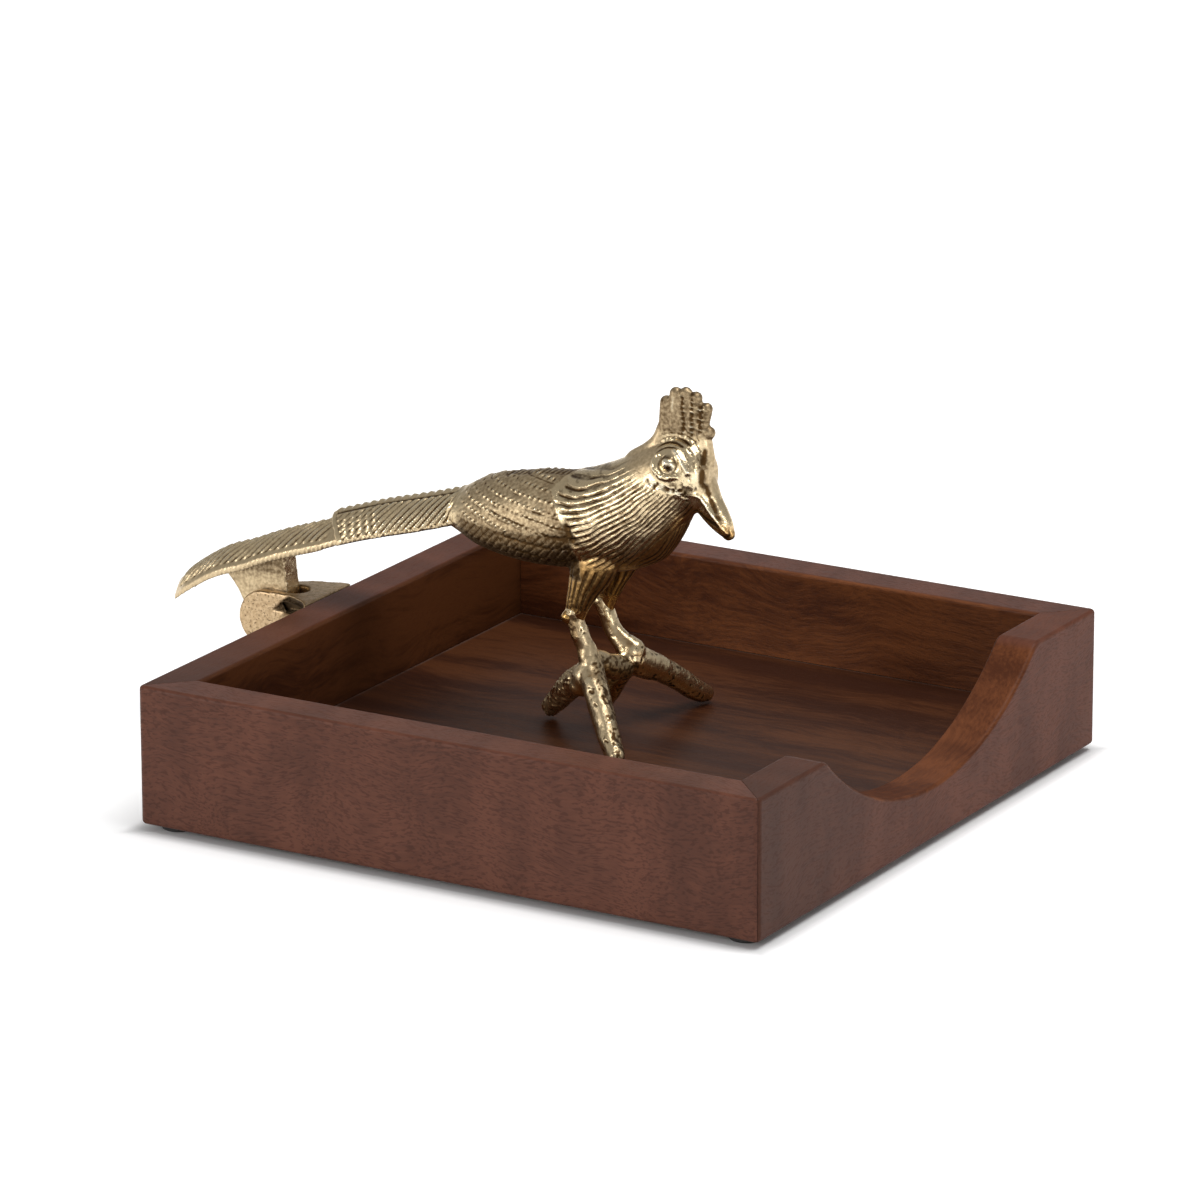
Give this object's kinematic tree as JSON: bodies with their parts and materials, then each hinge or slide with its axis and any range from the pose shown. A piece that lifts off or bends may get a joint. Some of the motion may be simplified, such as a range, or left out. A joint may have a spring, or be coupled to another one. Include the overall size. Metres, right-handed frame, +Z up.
{
  "type": "napkin tray with hinged bird weight",
  "caption": "Square wooden napkin tray with a scooped front wall and a cast gold bird, hinged behind the back wall, whose feet hold the napkins down.",
  "frame": {"origin": "on the table, under the middle of the whole length from the scooped wall to the tail tip", "axes": "+Z up, -Y towards the scooped front wall, +Y towards the hinge, +X to the right seen from the front"},
  "size_m": [0.2, 0.2512, 0.1226],
  "materials": {
    "stained_wood": "satin lacquer over a dark red-brown stain",
    "bare_wood": "bare",
    "foot_pad": "matte",
    "matte_gold": "as cast, fine pitted",
    "steel": "plain drawn",
    "screw_brass": "turned",
    "polished_gold": "polished on the high spots, dark in the grooves"
  },
  "bodies": {
    "tray": {"front_wall": "stained_wood", "right_wall": "stained_wood", "back_wall": "stained_wood", "left_wall": "stained_wood", "base_panel": "stained_wood", "front_left_spline": "bare_wood", "front_right_spline": "bare_wood", "back_left_spline": "bare_wood", "back_right_spline": "bare_wood", "front_left_pad": "foot_pad", "front_right_pad": "foot_pad", "back_left_pad": "foot_pad", "back_right_pad": "foot_pad", "hinge_bracket": "matte_gold", "hinge_pin": "steel", "left_bracket_screw": "screw_brass", "right_bracket_screw": "screw_brass"},
    "bird": {"bird_body": "polished_gold", "tail": "polished_gold", "left_foot": "polished_gold", "right_foot": "polished_gold"}
  },
  "joints": [
    {"name": "bird_hinge", "type": "hinge", "parent": "tray", "child": "bird", "pos_m": [0, 0.09295, 0.0344], "axis": [-1, 0, 0], "range_deg": [0, 65]}
  ]
}
